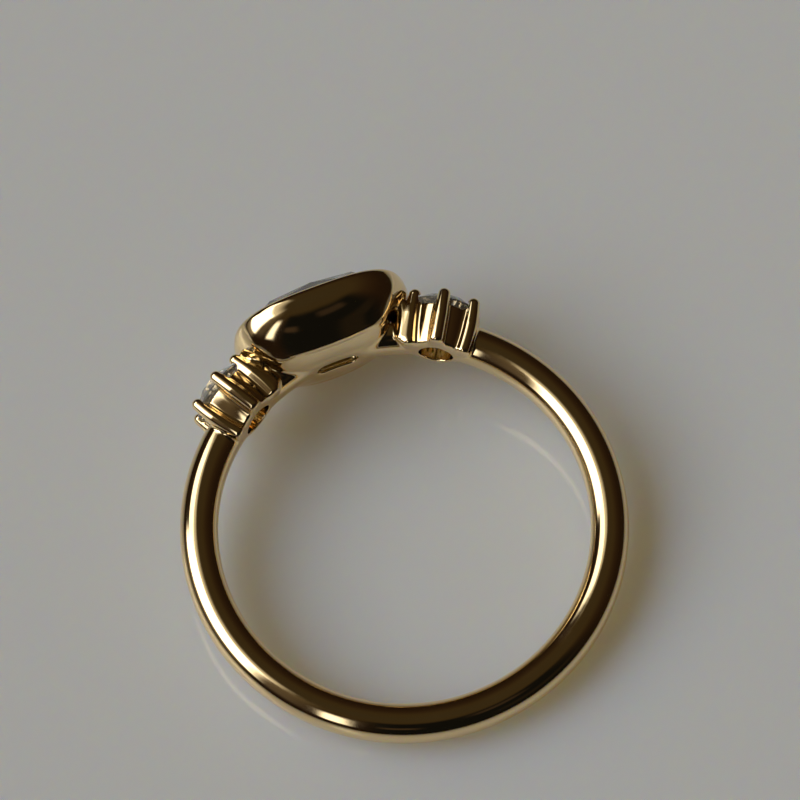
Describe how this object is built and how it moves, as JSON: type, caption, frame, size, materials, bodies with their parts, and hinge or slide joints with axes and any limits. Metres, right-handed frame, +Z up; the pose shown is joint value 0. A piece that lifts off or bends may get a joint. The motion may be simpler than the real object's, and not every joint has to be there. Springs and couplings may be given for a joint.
{
  "type": "three-stone engagement ring",
  "caption": "Round-wire finger ring with a cushion stone in a smooth bowl bezel, set along the band between two round stones in six-prong baskets.",
  "frame": {"origin": "on the surface the ring lies on, under the middle of its bounding box", "axes": "+X along the band at the centre stone, +Y from the far end of the shank to the centre stone, +Z up; the finger hole's axis leans 7 degrees from +Z towards -Y"},
  "size_m": [0.0206, 0.0224, 0.0068],
  "materials": {
    "gold": "polished yellow gold",
    "center_stone": "clear, faceted and polished",
    "side_stones": "clear, faceted and polished"
  },
  "bodies": {
    "root": {"gold_ring": "gold", "center_stone": "center_stone", "side_stone_right": "side_stones", "side_stone_left": "side_stones"}
  },
  "joints": []
}
